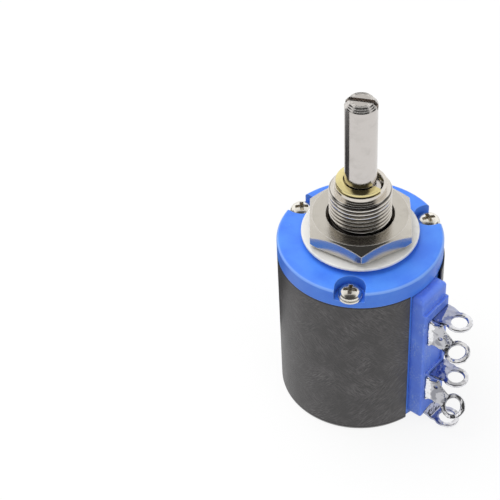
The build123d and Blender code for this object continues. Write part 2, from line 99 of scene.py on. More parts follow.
class Value:
    """A number in a shader, on which Python's operators add Math nodes."""

    def __init__(self, net: Net, socket: bpy.types.NodeSocket) -> None:
        """Keeps the net that the socket belongs to.

        Args:
            net: The net that new nodes go into.
            socket: The output socket that holds the number.
        """
        self.net = net
        self.socket = socket

    def _math(self, operation: str, left: Any, right: Any = 0.0) -> Value:
        """Adds one Math node."""
        return self.net.node("ShaderNodeMath", {"operation": operation}, {0: left, 1: right})

    def __add__(self, other: Any) -> Value:
        """Self plus other."""
        return self._math("ADD", self, other)

    def __radd__(self, other: Any) -> Value:
        """Other plus self."""
        return self._math("ADD", other, self)

    def __sub__(self, other: Any) -> Value:
        """Self minus other."""
        return self._math("SUBTRACT", self, other)

    def __rsub__(self, other: Any) -> Value:
        """Other minus self."""
        return self._math("SUBTRACT", other, self)

    def __mul__(self, other: Any) -> Value:
        """Self times other."""
        return self._math("MULTIPLY", self, other)

    def __rmul__(self, other: Any) -> Value:
        """Other times self."""
        return self._math("MULTIPLY", other, self)

    def __pow__(self, other: Any) -> Value:
        """Self to the power of other."""
        return self._math("POWER", self, other)

    def above(self, low: float, high: float) -> Value:
        """A smooth step from 0 at low to 1 at high."""
        settings = {"interpolation_type": "SMOOTHSTEP"}
        return self.net.node("ShaderNodeMapRange", settings, {0: self, 1: low, 2: high})

    def between(self, rise: Step, fall: Step) -> Value:
        """1 between two smooth steps and 0 outside them."""
        return self.above(*rise) * (1.0 - self.above(*fall))


class Net:
    """The node tree of one material or world."""

    samples = 6
    edge_step: Step = (0.88, 0.99)
    mix_share, mix_low, mix_high, mix_colour = 0, 6, 7, 2

    def __init__(self, tree: bpy.types.NodeTree) -> None:
        """Empties the tree.

        Args:
            tree: The node tree to fill.
        """
        self.tree = tree
        tree.nodes.clear()

    def node(self, kind: str, settings: dict[str, Any], inputs: dict[Any, Any],
             output: int | str = 0) -> Value:
        """Adds a node.

        Args:
            kind: The node's type.
            settings: Its settings.
            inputs: Values or links by socket name or number.
            output: The socket that is returned.

        Returns:
            The chosen output.
        """
        made = self.tree.nodes.new(kind)
        for name, value in settings.items():
            setattr(made, name, value)
        for name, value in inputs.items():
            socket = made.inputs[name]
            if isinstance(value, Value):
                self.tree.links.new(value.socket, socket)
            elif socket.type == "RGBA":
                socket.default_value = (*value, 1.0)
            else:
                socket.default_value = value
        return Value(self, made.outputs[output] if made.outputs else None)

    def place(self) -> Value:
        """Object coordinates, in metres."""
        return self.node("ShaderNodeTexCoord", {}, {}, "Object")

    def facing(self) -> Value:
        """The way that the surface faces, without bumps."""
        return self.node("ShaderNodeNewGeometry", {}, {}, "Normal")

    def ray(self, kind: str) -> Value:
        """1 for one kind of ray and 0 for the others."""
        return self.node("ShaderNodeLightPath", {}, {}, f"Is {kind} Ray")

    def split(self, vector: Value) -> tuple[Value, Value, Value]:
        """Takes a vector apart.

        Args:
            vector: The vector.

        Returns:
            Its three parts.
        """
        parts = self.node("ShaderNodeSeparateXYZ", {}, {0: vector})
        sockets = parts.socket.node.outputs
        return Value(self, sockets[0]), Value(self, sockets[1]), Value(self, sockets[2])

    def joined(self, x: Any, y: Any, z: Any) -> Value:
        """A vector from its three parts."""
        return self.node("ShaderNodeCombineXYZ", {}, {0: x, 1: y, 2: z})

    def noise(self, vector: Value, scale: float, detail: float, rough: float) -> Value:
        """Noise from 0 to 1 with scale lumps a metre."""
        inputs = {"Vector": vector, "Scale": scale, "Detail": detail, "Roughness": rough}
        return self.node("ShaderNodeTexNoise", {}, inputs)

    def mix(self, share: Any, low: Any, high: Any) -> Value:
        """A blend of two colours."""
        inputs = {self.mix_share: share, self.mix_low: low, self.mix_high: high}
        return self.node("ShaderNodeMix", {"data_type": "RGBA"}, inputs, self.mix_colour)

    def bump(self, height: Value, depth: float, strength: float = 1.0,
             under: Value | None = None) -> Value:
        """A bumped normal.

        Args:
            height: The pattern, from 0 to 1.
            depth: How high the pattern stands, in metres.
            strength: How much of it shows.
            under: A normal that the bump lies on.

        Returns:
            The normal.
        """
        inputs: dict[str, Any] = {"Height": height, "Distance": depth, "Strength": strength}
        if under is not None:
            inputs["Normal"] = under
        return self.node("ShaderNodeBump", {}, inputs)

    def round_edges(self, radius: float) -> Value:
        """A normal that rounds sharp edges over a radius in metres."""
        return self.node("ShaderNodeBevel", {"samples": self.samples}, {"Radius": radius})

    def edges(self, radius: float) -> Value:
        """Finds the sharp edges.

        Args:
            radius: How wide an edge is taken, in metres.

        Returns:
            1 along sharp edges and 0 elsewhere.
        """
        same = self.node("ShaderNodeVectorMath", {"operation": "DOT_PRODUCT"},
                         {0: self.round_edges(radius), 1: self.facing()}, "Value")
        return 1.0 - same.above(*self.edge_step)

    def open_air(self, reach: float) -> Value:
        """1 in the open and 0 deep in a crevice, within a reach in metres."""
        settings = {"samples": self.samples}
        return self.node("ShaderNodeAmbientOcclusion", settings, {"Distance": reach}, "AO")

    def surface(self, inputs: dict[str, Any]) -> None:
        """Adds the Principled shader and the output."""
        shader = self.node("ShaderNodeBsdfPrincipled", {}, inputs)
        self.node("ShaderNodeOutputMaterial", {}, {0: shader})


@dataclass(frozen=True)
class Pattern:
    """Noise with scale lumps a metre, and the smooth step that it goes through, if any."""

    scale: float
    detail: float = 3.0
    rough: float = 0.5
    step: Step | None = None

    def on(self, net: Net, place: Value) -> Value:
        """The pattern on a surface, from 0 to 1."""
        noise = net.noise(place, self.scale, self.detail, self.rough)
        return noise.above(*self.step) if self.step else noise


@dataclass(frozen=True)
class Crevice:
    """Painted shade in deep corners: within a reach in metres, over a smooth step."""

    reach: float
    step: Step

    def darken(self, net: Net, colour: Value, dark: Colour) -> Value:
        """The colour with painted shade in deep corners."""
        return net.mix(net.open_air(self.reach).above(*self.step), dark, colour)


@dataclass(frozen=True)
class Finish:
    """One finish of the real part."""

    name: str
    colour: Colour
    rough: float

    def paint(self, net: Net) -> None:
        """Fills the net; each kind of finish does it its own way."""
        raise NotImplementedError

    def material(self) -> bpy.types.Material:
        """Makes the material, or returns the one made before.

        Returns:
            The material.
        """
        name = f"{self.name}_finish"
        known = bpy.data.materials.get(name)
        if known:
            return known
        made = bpy.data.materials.new(name)
        made.use_nodes = True
        self.paint(Net(made.node_tree))
        return made

    def dress(self, piece: bpy.types.Object) -> None:
        """Gives the finish to every face of a piece."""
        piece.data.materials.clear()
        piece.data.materials.append(self.material())


@dataclass(frozen=True)
class Moulding(Finish):
    """Moulded plastic: faint grain, flow marks, scuffs, soft edges pale from wear and painted
    highlight.
    """

    shade: Colour = BLACK
    # The pale colour of dust, scuffs, wear and painted highlights.
    light: Colour = WHITE
    slant: float = 0.6
    scuffs: float = 0.0
    edge: float = 0.14 * MM
    grain_depth: float = 0.004 * MM
    flow: Pattern = Pattern(240.0, 4.0, 0.6, (0.3, 0.7))
    grain: Pattern = Pattern(9000.0, 2.0)
    dust: Pattern = Pattern(2600.0, 5.0, 0.7, (0.62, 0.78))
    scuff: Pattern = Pattern(3600.0, 5.0, 0.75, (0.5, 0.58))
    scuffed_area: Pattern = Pattern(420.0, 2.0, 0.5, (0.44, 0.58))
    mottle: Pattern = Pattern(900.0, 4.0)
    slant_rise: Step = (0.12, 0.4)
    slant_fall: Step = (0.72, 0.93)
    dust_share: float = 0.3
    edge_share: float = 0.5
    dust_rough: float = 0.1
    mottle_rough: float = 0.16
    # Painted shade in deep corners.
    crevice: Crevice = Crevice(0.5 * MM, (0.05, 0.62))
    deep_share: float = 0.22

    def paint(self, net: Net) -> None:
        """Two close shades, fine grain, dust, worn edges, and painted highlights and corner
        shade.

        Args:
            net: The net of the material.
        """
        place = net.place()
        dust = self.dust.on(net, place)
        colour = net.mix(self.flow.on(net, place), self.shade, self.colour)
        # Painted highlight on the sloping faces of the rounded edges.
        slant = net.split(net.facing())[2].between(self.slant_rise, self.slant_fall)
        scuff = self.scuff.on(net, place) * self.scuffed_area.on(net, place)
        # Pale: real dust and scuffs, edges of wear and painted highlight, and painted highlight
        # on slopes.
        pale = dust * self.dust_share + net.edges(self.edge) * self.edge_share
        pale = pale + slant * self.slant + scuff * self.scuffs
        colour = net.mix(pale, colour, self.light)
        # Painted shade in deep corners.
        colour = self.crevice.darken(net, colour, dimmed(self.shade, self.deep_share))
        rough = self.rough + self.mottle_rough * self.mottle.on(net, place)
        normal = net.bump(self.grain.on(net, place), self.grain_depth, 1.0,
                          net.round_edges(self.edge))
        net.surface({"Base Color": colour, "Roughness": rough + self.dust_rough * dust,
                     "Normal": normal})


@dataclass(frozen=True)
class Film(Finish):
    """Thin black film with crossed, slanting scuffs that follow the body round."""

    scuff: Colour = BLACK
    twist: float = 95.0
    fine_left: float = 7400.0
    fine_right: float = 6600.0
    stretch: float = 0.22
    streak: Pattern = Pattern(1.0, 3.0, 0.65)
    streak_step: Step = (0.44, 0.64)
    side: Pattern = Pattern(190.0, 2.0, 0.5, (0.42, 0.58))
    worn: Pattern = Pattern(330.0, 4.0, 0.6, (0.3, 0.68))
    cloud: Pattern = Pattern(420.0, 5.0, 0.65)
    wave: Pattern = Pattern(600.0, 2.0)
    marks_share: float = 0.65
    cloud_share: float = 0.2
    marks_rough: float = 0.14
    cloud_rough: float = 0.16
    marks_depth: float = 0.012 * MM
    marks_strength: float = 0.8
    wave_depth: float = 0.02 * MM
    wave_strength: float = 0.6
    # Painted shade in corners and in lines over the hem and under the cap; painted reflection
    # on the hem.
    crevice: Crevice = Crevice(0.4 * MM, (0.05, 0.6))
    deep_share: float = 0.2
    hem_colour: Colour = (0.3, 0.29, 0.29)
    hem_end: Step = (0.5 * MM, 0.56 * MM)
    line_rise: Step = (0.56 * MM, 0.6 * MM)
    line_fall: Step = (0.72 * MM, 0.78 * MM)
    top_line: Step = (22.74 * MM, 22.8 * MM)
    line_share: float = 0.85

    def streaks(self, net: Net, place: Value, twist: float, fine: float) -> Value:
        """Streaks along a helix.

        Args:
            net: The net of the material.
            place: Object coordinates.
            twist: Turn round the axis, in radians a metre.
            fine: Streaks a metre, across them.

        Returns:
            The pattern, from 0 to 1.
        """
        height = net.split(place)[2]
        turned = net.node("ShaderNodeVectorRotate", {"rotation_type": "Z_AXIS"},
                          {"Vector": place, "Angle": height * twist})
        x, y, z = net.split(turned)
        along = net.joined(x * fine, y * fine, z * fine * self.stretch)
        return self.streak.on(net, along).above(*self.streak_step)

    def hemmed(self, net: Net, colour: Value, height: Value, dark: Colour) -> Value:
        """Painted reflection on the rolled hem at the foot, painted shade lines over it and at
        the top.

        Args:
            net: The net of the material.
            colour: The colour so far.
            height: Level along the axis, in metres.
            dark: The colour of the painted shade lines.

        Returns:
            The colour.
        """
        line = height.between(self.line_rise, self.line_fall) + height.above(*self.top_line)
        colour = net.mix(line * self.line_share, colour, dark)
        return net.mix(height.above(*self.hem_end), self.hem_colour, colour)

    def paint(self, net: Net) -> None:
        """Black, with scuffs a little lighter, rougher and raised, and painted shade and
        reflection.

        Args:
            net: The net of the material.
        """
        place = net.place()
        left = self.streaks(net, place, self.twist, self.fine_left)
        right = self.streaks(net, place, -self.twist, self.fine_right)
        crossed = net.mix(self.side.on(net, place), left, right)
        marks = crossed * self.worn.on(net, place)
        cloud = self.cloud.on(net, place)
        pale = marks * self.marks_share + cloud * self.cloud_share
        dark = dimmed(self.colour, self.deep_share)
        # Painted shade in corners.
        colour = self.crevice.darken(net, net.mix(pale, self.colour, self.scuff), dark)
        # Painted reflection on the hem, and painted shade lines.
        colour = self.hemmed(net, colour, net.split(place)[2], dark)
        rough = self.rough + self.marks_rough * marks + self.cloud_rough * cloud
        waves = net.bump(self.wave.on(net, place), self.wave_depth, self.wave_strength)
        normal = net.bump(crossed, self.marks_depth, self.marks_strength, waves)
        net.surface({"Base Color": colour, "Roughness": rough, "Normal": normal})


@dataclass(frozen=True)
class Turned(Finish):
    """Plated metal with fine tool marks round the axis, painted edge highlights and painted
    shade.
    """

    marks: float = 0.003 * MM
    edge: float = 0.05 * MM
    tarnish: Colour = (0.3, 0.28, 0.25)
    # Painted shade in crevices.
    crevice: Crevice = Crevice(0.4 * MM, (0.06, 0.5))
    soot: Colour = (0.012, 0.011, 0.01)
    metal: float = 1.0
    end: float = 1.0
    end_fade: float = 0.03 * MM
    end_share: float = 0.4
    line: Pattern = Pattern(1.0, 2.0)
    rings_scale: float = 9000.0
    fine_scale: float = 30000.0
    drift: float = 400.0
    rings_share: float = 0.7
    fine_share: float = 0.3
    rings_rough: float = 0.05
    bloom: Pattern = Pattern(700.0, 5.0, 0.65)
    bloom_step: Step = (0.45, 0.8)
    bloom_share: float = 0.25
    bloom_rough: float = 0.08
    # Painted highlight along sharp edges.
    rim_width: float = 1.5
    rim_colour: Colour = tint(250, 248, 244)
    rim_share: float = 0.8
    rim_rough: float = 0.3
    rim_plain: float = 0.7

    def clean(self, net: Net, radius: Value, z: Value) -> Value:
        """1 on open faces and 0 in crevices, where shade is painted."""
        return net.open_air(self.crevice.reach).above(*self.crevice.step)

    def paint(self, net: Net) -> None:
        """Rings on flat faces, lines on round walls, a patchy bloom, painted edge highlights
        and shade.

        Args:
            net: The net of the material.
        """
        place = net.place()
        x, y, z = net.split(place)
        radius = (x * x + y * y) ** 0.5
        wide, tight = self.rings_scale, self.fine_scale
        rings = self.line.on(net, net.joined(radius * wide, z * wide, 0.0))
        fine = self.line.on(net, net.joined(radius * tight, z * tight, x * self.drift))
        bloom = self.bloom.on(net, place)
        stain = bloom.above(*self.bloom_step) * self.bloom_share
        colour = net.mix(stain, self.colour, self.tarnish)
        end = z.above(self.end - self.end_fade, self.end) * self.end_share
        colour = net.mix(end, colour, self.tarnish)
        # Painted highlight along sharp edges: pale, less metallic and rougher.
        rim = net.edges(self.edge * self.rim_width)
        colour = net.mix(rim * self.rim_share, colour, self.rim_colour)
        # Painted shade in crevices.
        colour = net.mix(self.clean(net, radius, z), self.soot, colour)
        rough = self.rough + self.bloom_rough * bloom + self.rings_rough * rings
        lines = rings * self.rings_share + fine * self.fine_share
        normal = net.bump(lines, self.marks, 1.0, net.round_edges(self.edge))
        metal = self.metal * (1.0 - rim * self.rim_plain)
        net.surface({"Base Color": colour, "Metallic": metal,
                     "Roughness": rough + self.rim_rough * rim, "Normal": normal})


@dataclass(frozen=True)
class Threaded(Turned):
    """Turned metal with painted shade in the grooves of its thread."""

    groove_step: Step = (3.68 * MM, 3.89 * MM)
    thread_end: Step = (33.3 * MM, 33.4 * MM)
    grime: float = 0.95

    def clean(self, net: Net, radius: Value, z: Value) -> Value:
        """Finds what is free of painted shade.

        Args:
            net: The net of the material.
            radius: Distance from the axis, in metres.
            z: Level along the axis, in metres.

        Returns:
            1 on open faces, 0 in crevices and near 0 in the grooves.
        """
        # Painted shade in the thread's grooves.
        groove = (1.0 - z.above(*self.thread_end)) * (1.0 - radius.above(*self.groove_step))
        return super().clean(net, radius, z) * (1.0 - groove * self.grime)


@dataclass(frozen=True)
class Tinned(Finish):
    """Solder-dipped metal: bright, lumpy, a little grey where thin, flux stains, painted
    reflection and shade.
    """

    depth: float = 0.05 * MM
    thin: Colour = (0.3, 0.3, 0.3)
    # Flux stain; on the blades, a painted reflection of the blue block.
    flux: Colour = (0.3, 0.3, 0.3)
    flux_from: float = 0.0
    flux_to: float = 0.0
    lump: Pattern = Pattern(1500.0, 2.0, 0.45)
    fine: Pattern = Pattern(7000.0, 4.0, 0.6)
    spot: Pattern = Pattern(2600.0, 4.0, 0.7, (0.5, 0.72))
    patch: Pattern = Pattern(620.0, 2.0, 0.5, (0.52, 0.62))
    ragged: Pattern = Pattern(1100.0, 3.0, 0.6)
    ragged_width: float = 1.2 * MM
    flux_rise: float = 0.1 * MM
    flux_fall: float = 0.5 * MM
    flux_share: float = 0.6
    spot_share: float = 0.35
    patch_share: float = 0.6
    spot_bare: float = 0.5
    spot_rough: float = 0.14
    fine_rough: float = 0.04
    lump_share: float = 0.85
    strength: float = 0.55
    edge: float = 0.09 * MM
    # Painted shade in corners.
    crevice: Crevice = Crevice(0.5 * MM, (0.08, 0.6))
    soot: Colour = (0.015, 0.015, 0.015)

    def stained(self, net: Net, place: Value) -> Value:
        """Finds the zone of flux stain and painted reflection along X, with ragged ends.

        Args:
            net: The net of the material.
            place: Object coordinates.

        Returns:
            1 in the zone and 0 elsewhere.
        """
        ragged = (self.ragged.on(net, place) - 0.5) * self.ragged_width
        along = net.split(place)[0] + ragged
        return along.between((self.flux_from, self.flux_from + self.flux_rise),
                             (self.flux_to - self.flux_fall, self.flux_to))

    def paint(self, net: Net) -> None:
        """Soft lumps of solder over fine scratches.

        Args:
            net: The net of the material.
        """
        place = net.place()
        spots = self.spot.on(net, place)
        patch = self.patch.on(net, place)
        fine = self.fine.on(net, place)
        colour = net.mix(spots * self.spot_share + patch * self.patch_share, self.colour,
                         self.thin)
        stain = self.stained(net, place) * (self.flux_share + (1.0 - self.flux_share) * patch)
        # Flux stain, and on the blades a painted reflection of the blue block.
        colour = net.mix(stain * (1.0 - self.spot_bare * spots), colour, self.flux)
        # Painted shade in corners.
        colour = self.crevice.darken(net, colour, self.soot)
        rough = self.rough + self.spot_rough * spots + self.fine_rough * fine
        solder = self.lump.on(net, place) * self.lump_share + fine * (1.0 - self.lump_share)
        normal = net.bump(solder, self.depth, self.strength, net.round_edges(self.edge))
        net.surface({"Base Color": colour, "Metallic": 1.0, "Roughness": rough,
                     "Normal": normal})


@dataclass(frozen=True)
class Wound(Finish):
    """Fine bare wire wound round a mandrel."""

    turns: float = 900.0
    depth: float = 0.03 * MM
    deep_share: float = 0.4

    def paint(self, net: Net) -> None:
        """Turns of wire that run across the coil, by the angle round the axis.

        Args:
            net: The net of the material.
        """
        x, y, _ = net.split(net.place())
        angle = net.node("ShaderNodeMath", {"operation": "ARCTAN2"}, {0: y, 1: x})
        wave = net.node("ShaderNodeMath", {"operation": "SINE"}, {0: angle * self.turns})
        wire = wave * 0.5 + 0.5
        # Painted shade between the turns of wire.
        colour = net.mix(wire, dimmed(self.colour, self.deep_share), self.colour)
        net.surface({"Base Color": colour, "Metallic": 1.0, "Roughness": self.rough,
                     "Normal": net.bump(wire, self.depth)})


@dataclass(frozen=True)
class Paper(Finish):
    """Floor paper that shows white to the eye and in gloss, and keeps the part's shadow."""

    seen_colour: Colour = (0.95, 0.95, 0.95)
    tooth: Pattern = Pattern(80.0)
    tooth_rough: float = 0.2
    specular: float = 0.1
    glow: float = 0.86

    def paint(self, net: Net) -> None:
        """Pale paper, mixed with white light for the rays that look at it.

        Args:
            net: The net of the material.
        """
        rough = self.rough + self.tooth_rough * self.tooth.on(net, net.place())
        seen = net.ray("Camera")
        paper = net.node("ShaderNodeBsdfPrincipled", {}, {
            "Base Color": net.mix(seen, self.colour, self.seen_colour), "Roughness": rough,
            "Specular IOR Level": self.specular})
        light = net.node("ShaderNodeEmission", {}, {"Color": WHITE, "Strength": 1.0})
        share = (seen + net.ray("Glossy") + net.ray("Transmission")) * self.glow
        both = net.node("ShaderNodeMixShader", {}, {0: share, 1: paper, 2: light})
        net.node("ShaderNodeOutputMaterial", {}, {0: both})


@dataclass(frozen=True)
class Board(Finish):
    """Dark board, grey towards its top and in one upright stripe."""

    light: Colour = (0.03, 0.03, 0.034)
    grey: Colour = (0.3, 0.3, 0.3)
    mottle: Pattern = Pattern(300.0)
    top_rise: Step = (9.0 * MM, 22.0 * MM)
    top_end: Step = (-30.5 * MM, -30.0 * MM)
    stripe_rise: Step = (-13.5 * MM, -13.0 * MM)
    stripe_fall: Step = (-11.0 * MM, -10.5 * MM)

    def paint(self, net: Net) -> None:
        """Near black with a faint mottle, and the grey parts over it.

        Args:
            net: The net of the material.
        """
        place = net.place()
        out, across, up = net.split(place)
        colour = net.mix(self.mottle.on(net, place), self.colour, self.light)
        fade = up.above(*self.top_rise) * (1.0 - out.above(*self.top_end))
        colour = net.mix(fade, colour, self.grey)
        colour = net.mix(across.between(self.stripe_rise, self.stripe_fall), colour, self.grey)
        net.surface({"Base Color": colour, "Roughness": self.rough})


class Finishes(Enum):
    """The record's slots, the kinds that some nodes have of their own, and the studio's two."""

    blue_moulding = Moulding("blue_moulding", tint(78, 141, 244), 0.3, tint(64, 123, 237),
                             tint(150, 190, 255))
    # The terminal block's paler copy of the blue moulding: painted light for its shaded faces,
    # with real scuffs.
    worn_moulding = Moulding("worn_moulding", tint(106, 146, 252), 0.36, tint(90, 128, 240),
                             tint(160, 190, 250), slant=0.06, scuffs=0.6)
    pale_moulding = Moulding("pale_moulding", tint(226, 222, 210), 0.4, tint(216, 211, 198))
    black_film = Film("black_film", tint(44, 42, 42), 0.3, tint(121, 118, 119))
    nickel_plate = Threaded("nickel_plate", tint(222, 216, 207), 0.07, 0.004 * MM, 0.06 * MM,
                            soot=(0.035, 0.029, 0.024))
    nickel_nut = Turned("nickel_nut", tint(200, 195, 186), 0.14, 0.008 * MM, 0.12 * MM,
                        crevice=Crevice(0.2 * MM, (0.06, 0.5)))
    satin_nickel = Turned("satin_nickel", tint(240, 239, 236), 0.42, 0.004 * MM,
                          crevice=Crevice(0.25 * MM, (0.06, 0.5)), metal=0.15)
    plated_steel = Turned("plated_steel", tint(240, 236, 226), 0.17, 0.004 * MM, 0.06 * MM)
    # Painted shade for the screws' cross recesses.
    dark_recess = Turned("dark_recess", tint(196, 186, 166), 0.25, 0.004 * MM,
                         crevice=Crevice(0.3 * MM, (0.06, 0.5)))
    ground_steel = Turned("ground_steel", tint(208, 203, 199), 0.07, 0.002 * MM, 0.05 * MM,
                          end=46.7 * MM)
    spring_brass = Turned("spring_brass", tint(232, 218, 158), 0.12, 0.003 * MM, 0.04 * MM,
                          tint(120, 100, 50))
    tinned_brass = Tinned("tinned_brass", tint(246, 246, 249), 0.1, 0.04 * MM,
                          tint(128, 128, 130), tint(150, 151, 158), 12.75 * MM, 15.6 * MM)
    # The blades' blue stain zone is a painted reflection of the blue block.
    tinned_blade = Tinned("tinned_blade", tint(232, 232, 236), 0.1, 0.04 * MM,
                          tint(128, 128, 130), tint(118, 128, 172), 11.0 * MM, 14.8 * MM)
    resistance_wire = Wound("resistance_wire", tint(190, 170, 140), 0.35)
    floor_paper = Paper("floor_paper", (0.5, 0.5, 0.5), 0.6)
    dark_board = Board("dark_board", (0.01, 0.01, 0.012), 0.6)


class Bench:
    """The modelling moves that the pieces share."""

    weld = 0.0005 * MM
    crease = 28.0

    @staticmethod
    def clear() -> None:
        """Deselects everything."""
        bpy.ops.object.select_all(action="DESELECT")

    @classmethod
    def pick(cls, piece: bpy.types.Object) -> None:
        """Makes a piece the only selected one, and the active one.

        Args:
            piece: The piece.
        """
        cls.clear()
        piece.select_set(True)
        bpy.context.view_layer.objects.active = piece

    @staticmethod
    def named(name: str) -> bpy.types.Object:
        """Names the piece that an operator has just added, and its mesh.

        Args:
            name: The name.

        Returns:
            The piece.
        """
        piece = bpy.context.active_object
        piece.name = name
        piece.data.name = name
        return piece

    @classmethod
    def settle(cls, piece: bpy.types.Object) -> None:
        """Moves a piece's place, turn and scale into its mesh."""
        cls.pick(piece)
        bpy.ops.object.transform_apply(location=True, rotation=True, scale=True)

    @classmethod
    def copy_node(cls, node: bpy.types.Object, name: str) -> bpy.types.Object:
        """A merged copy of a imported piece, free of its body.

        Args:
            node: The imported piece.
            name: The name of the copy.

        Returns:
            The copy.
        """
        piece = bpy.data.objects.new(name, node.data.copy())
        piece.data.name = name
        bpy.context.scene.collection.objects.link(piece)
        cls.pick(piece)
        bpy.ops.object.mode_set(mode="EDIT")
        bpy.ops.mesh.select_all(action="SELECT")
        bpy.ops.mesh.remove_doubles(threshold=cls.weld)
        bpy.ops.object.mode_set(mode="OBJECT")
        bpy.ops.mesh.customdata_custom_splitnormals_clear()
        return piece

    @classmethod
    def modify(cls, piece: bpy.types.Object, kind: str, **settings: Any) -> None:
        """Adds a modifier and applies it.

        Args:
            piece: The piece.
            kind: The modifier's type.
            **settings: Its settings.
        """
        cls.pick(piece)
        modifier = piece.modifiers.new(kind.lower(), kind)
        for name, value in settings.items():
            setattr(modifier, name, value)
        bpy.ops.object.modifier_apply(modifier=modifier.name)

    @classmethod
    def cut(cls, piece: bpy.types.Object, tool: bpy.types.Object,
            operation: str = "DIFFERENCE") -> None:
        """Cuts a piece with a tool, which is then removed."""
        cls.modify(piece, "BOOLEAN", object=tool, operation=operation, solver="EXACT")
        bpy.data.objects.remove(tool)

    @classmethod
    def close_ends(cls, piece: bpy.types.Object) -> None:
        """Fills a swept piece's open ends and turns its faces outwards.

        Args:
            piece: The piece.
        """
        cls.pick(piece)
        bpy.ops.object.mode_set(mode="EDIT")
        bpy.ops.mesh.select_all(action="SELECT")
        bpy.ops.mesh.remove_doubles(threshold=cls.weld)
        bpy.ops.mesh.fill_holes(sides=0)
        bpy.ops.mesh.select_all(action="SELECT")
        bpy.ops.mesh.normals_make_consistent(inside=False)
        bpy.ops.object.mode_set(mode="OBJECT")

    @classmethod
    def smooth(cls, piece: bpy.types.Object, degrees: float = crease) -> None:
        """Shades a piece smooth, apart from edges sharper than an angle."""
        cls.pick(piece)
        bpy.ops.object.shade_smooth_by_angle(angle=math.radians(degrees))

    @classmethod
    def chain(cls, name: str, points: Sequence[Corner],
              closed: bool) -> bpy.types.Object:
        """An outline in the XZ plane, drawn by extruding one point along it.

        Args:
            name: The name of the new piece.
            points: Radius and level of each corner, in millimetres.
            closed: Whether the last corner joins the first.

        Returns:
            The outline, as edges.
        """
        cls.clear()
        bpy.ops.mesh.primitive_plane_add(size=MM)
        piece = cls.named(name)
        bpy.ops.object.mode_set(mode="EDIT")
        bpy.ops.mesh.select_all(action="SELECT")
        bpy.ops.mesh.merge(type="CENTER")
        last = (0.0, 0.0)
        for number, point in enumerate([*points, *points[:1]] if closed else points):
            step = ((point[0] - last[0]) * MM, 0.0, (point[1] - last[1]) * MM)
            if number == 0:
                bpy.ops.transform.translate(value=step)
            else:
                bpy.ops.mesh.extrude_region_move(TRANSFORM_OT_translate={"value": step})
            last = point
        bpy.ops.mesh.select_all(action="SELECT")
        bpy.ops.mesh.remove_doubles(threshold=cls.weld)
        bpy.ops.object.mode_set(mode="OBJECT")
        return piece

    @classmethod
    def turn(cls, name: str, points: Sequence[Corner], steps: int = 64,
             closed: bool = False, sweep: float = math.tau) -> bpy.types.Object:
        """A solid turned round the Z axis from its half outline.

        Args:
            name: The name of the new piece.
            points: Radius and level of each corner, from axis to axis, in millimetres.
            steps: Faces round the axis.
            closed: Whether the outline is a closed one, off the axis.
            sweep: How far it is turned, in radians.

        Returns:
            The closed solid.
        """
        piece = cls.chain(name, points, closed)
        bpy.ops.object.mode_set(mode="EDIT")
        bpy.ops.mesh.select_all(action="SELECT")
        bpy.ops.mesh.spin(steps=steps, angle=sweep, center=(0.0, 0.0, 0.0),
                          axis=(0.0, 0.0, 1.0))
        bpy.ops.object.mode_set(mode="OBJECT")
        cls.close_ends(piece)
        return piece

    @classmethod
    def shift(cls, piece: bpy.types.Object, angle: float, move: Vector) -> None:
        """Turns and moves a piece, and settles it.

        Args:
            piece: The piece.
            angle: Its turn about Z, in degrees.
            move: Its move, in metres.
        """
        piece.rotation_euler = (0.0, 0.0, math.radians(angle))
        piece.location = move
        cls.settle(piece)

    @classmethod
    def copy(cls, piece: bpy.types.Object, name: str) -> bpy.types.Object:
        """Copies a piece.

        Args:
            piece: The piece.
            name: The name of the copy.

        Returns:
            The copy, with its own mesh.
        """
        cls.pick(piece)
        bpy.ops.object.duplicate(linked=False)
        return cls.named(name)

    @classmethod
    def islands(cls, piece: bpy.types.Object) -> list[tuple[Vector, Vector]]:
        """Splits a merged copy into its loose solids and removes them.

        Args:
            piece: The merged copy.

        Returns:
            The lowest and the highest corner of each solid.
        """
        cls.pick(piece)
        bpy.ops.mesh.separate(type="LOOSE")
        boxes = []
        for solid in list(bpy.context.selected_objects):
            levels = list(zip(*(vertex.co for vertex in solid.data.vertices)))
            low, high = (Vector([end(axis) for axis in levels]) for end in (min, max))
            boxes.append((low, high))
            bpy.data.objects.remove(solid)
        return sorted(boxes, key=lambda box: box[0].to_tuple(5))


@dataclass
class Bushing:
    """The bushing, with a real thread above the nut; sizes in millimetres."""

    node: bpy.types.Object
    crest: float = 3.9
    root: float = 3.52
    pitch: float = 0.6
    land: float = 0.08
    low: float = 28.35
    turns: int = 9
    steps: int = 96
    over: float = 0.2
    flare: float = 0.02

    def build(self) -> bpy.types.Object:
        """Cuts the thread in a copy of the plain bushing.

        Returns:
            The threaded bushing.
        """
        piece = Bench.copy_node(self.node, "threaded_bushing")
        half = self.pitch / 2 - self.land
        outer = self.crest + self.over
        corners = [(self.root, 0.0), (self.crest, -half), (outer, -half - self.flare),
                   (outer, half + self.flare), (self.crest, half)]
        tool = Bench.chain("thread_tool", [(r, z + self.low) for r, z in corners], True)
        Bench.modify(tool, "SCREW", axis="Z", angle=math.tau, steps=self.steps,
                     render_steps=self.steps, screw_offset=self.pitch * MM,
                     iterations=self.turns, use_merge_vertices=False)
        Bench.close_ends(tool)
        Bench.cut(piece, tool)
        Bench.smooth(piece)
        return piece


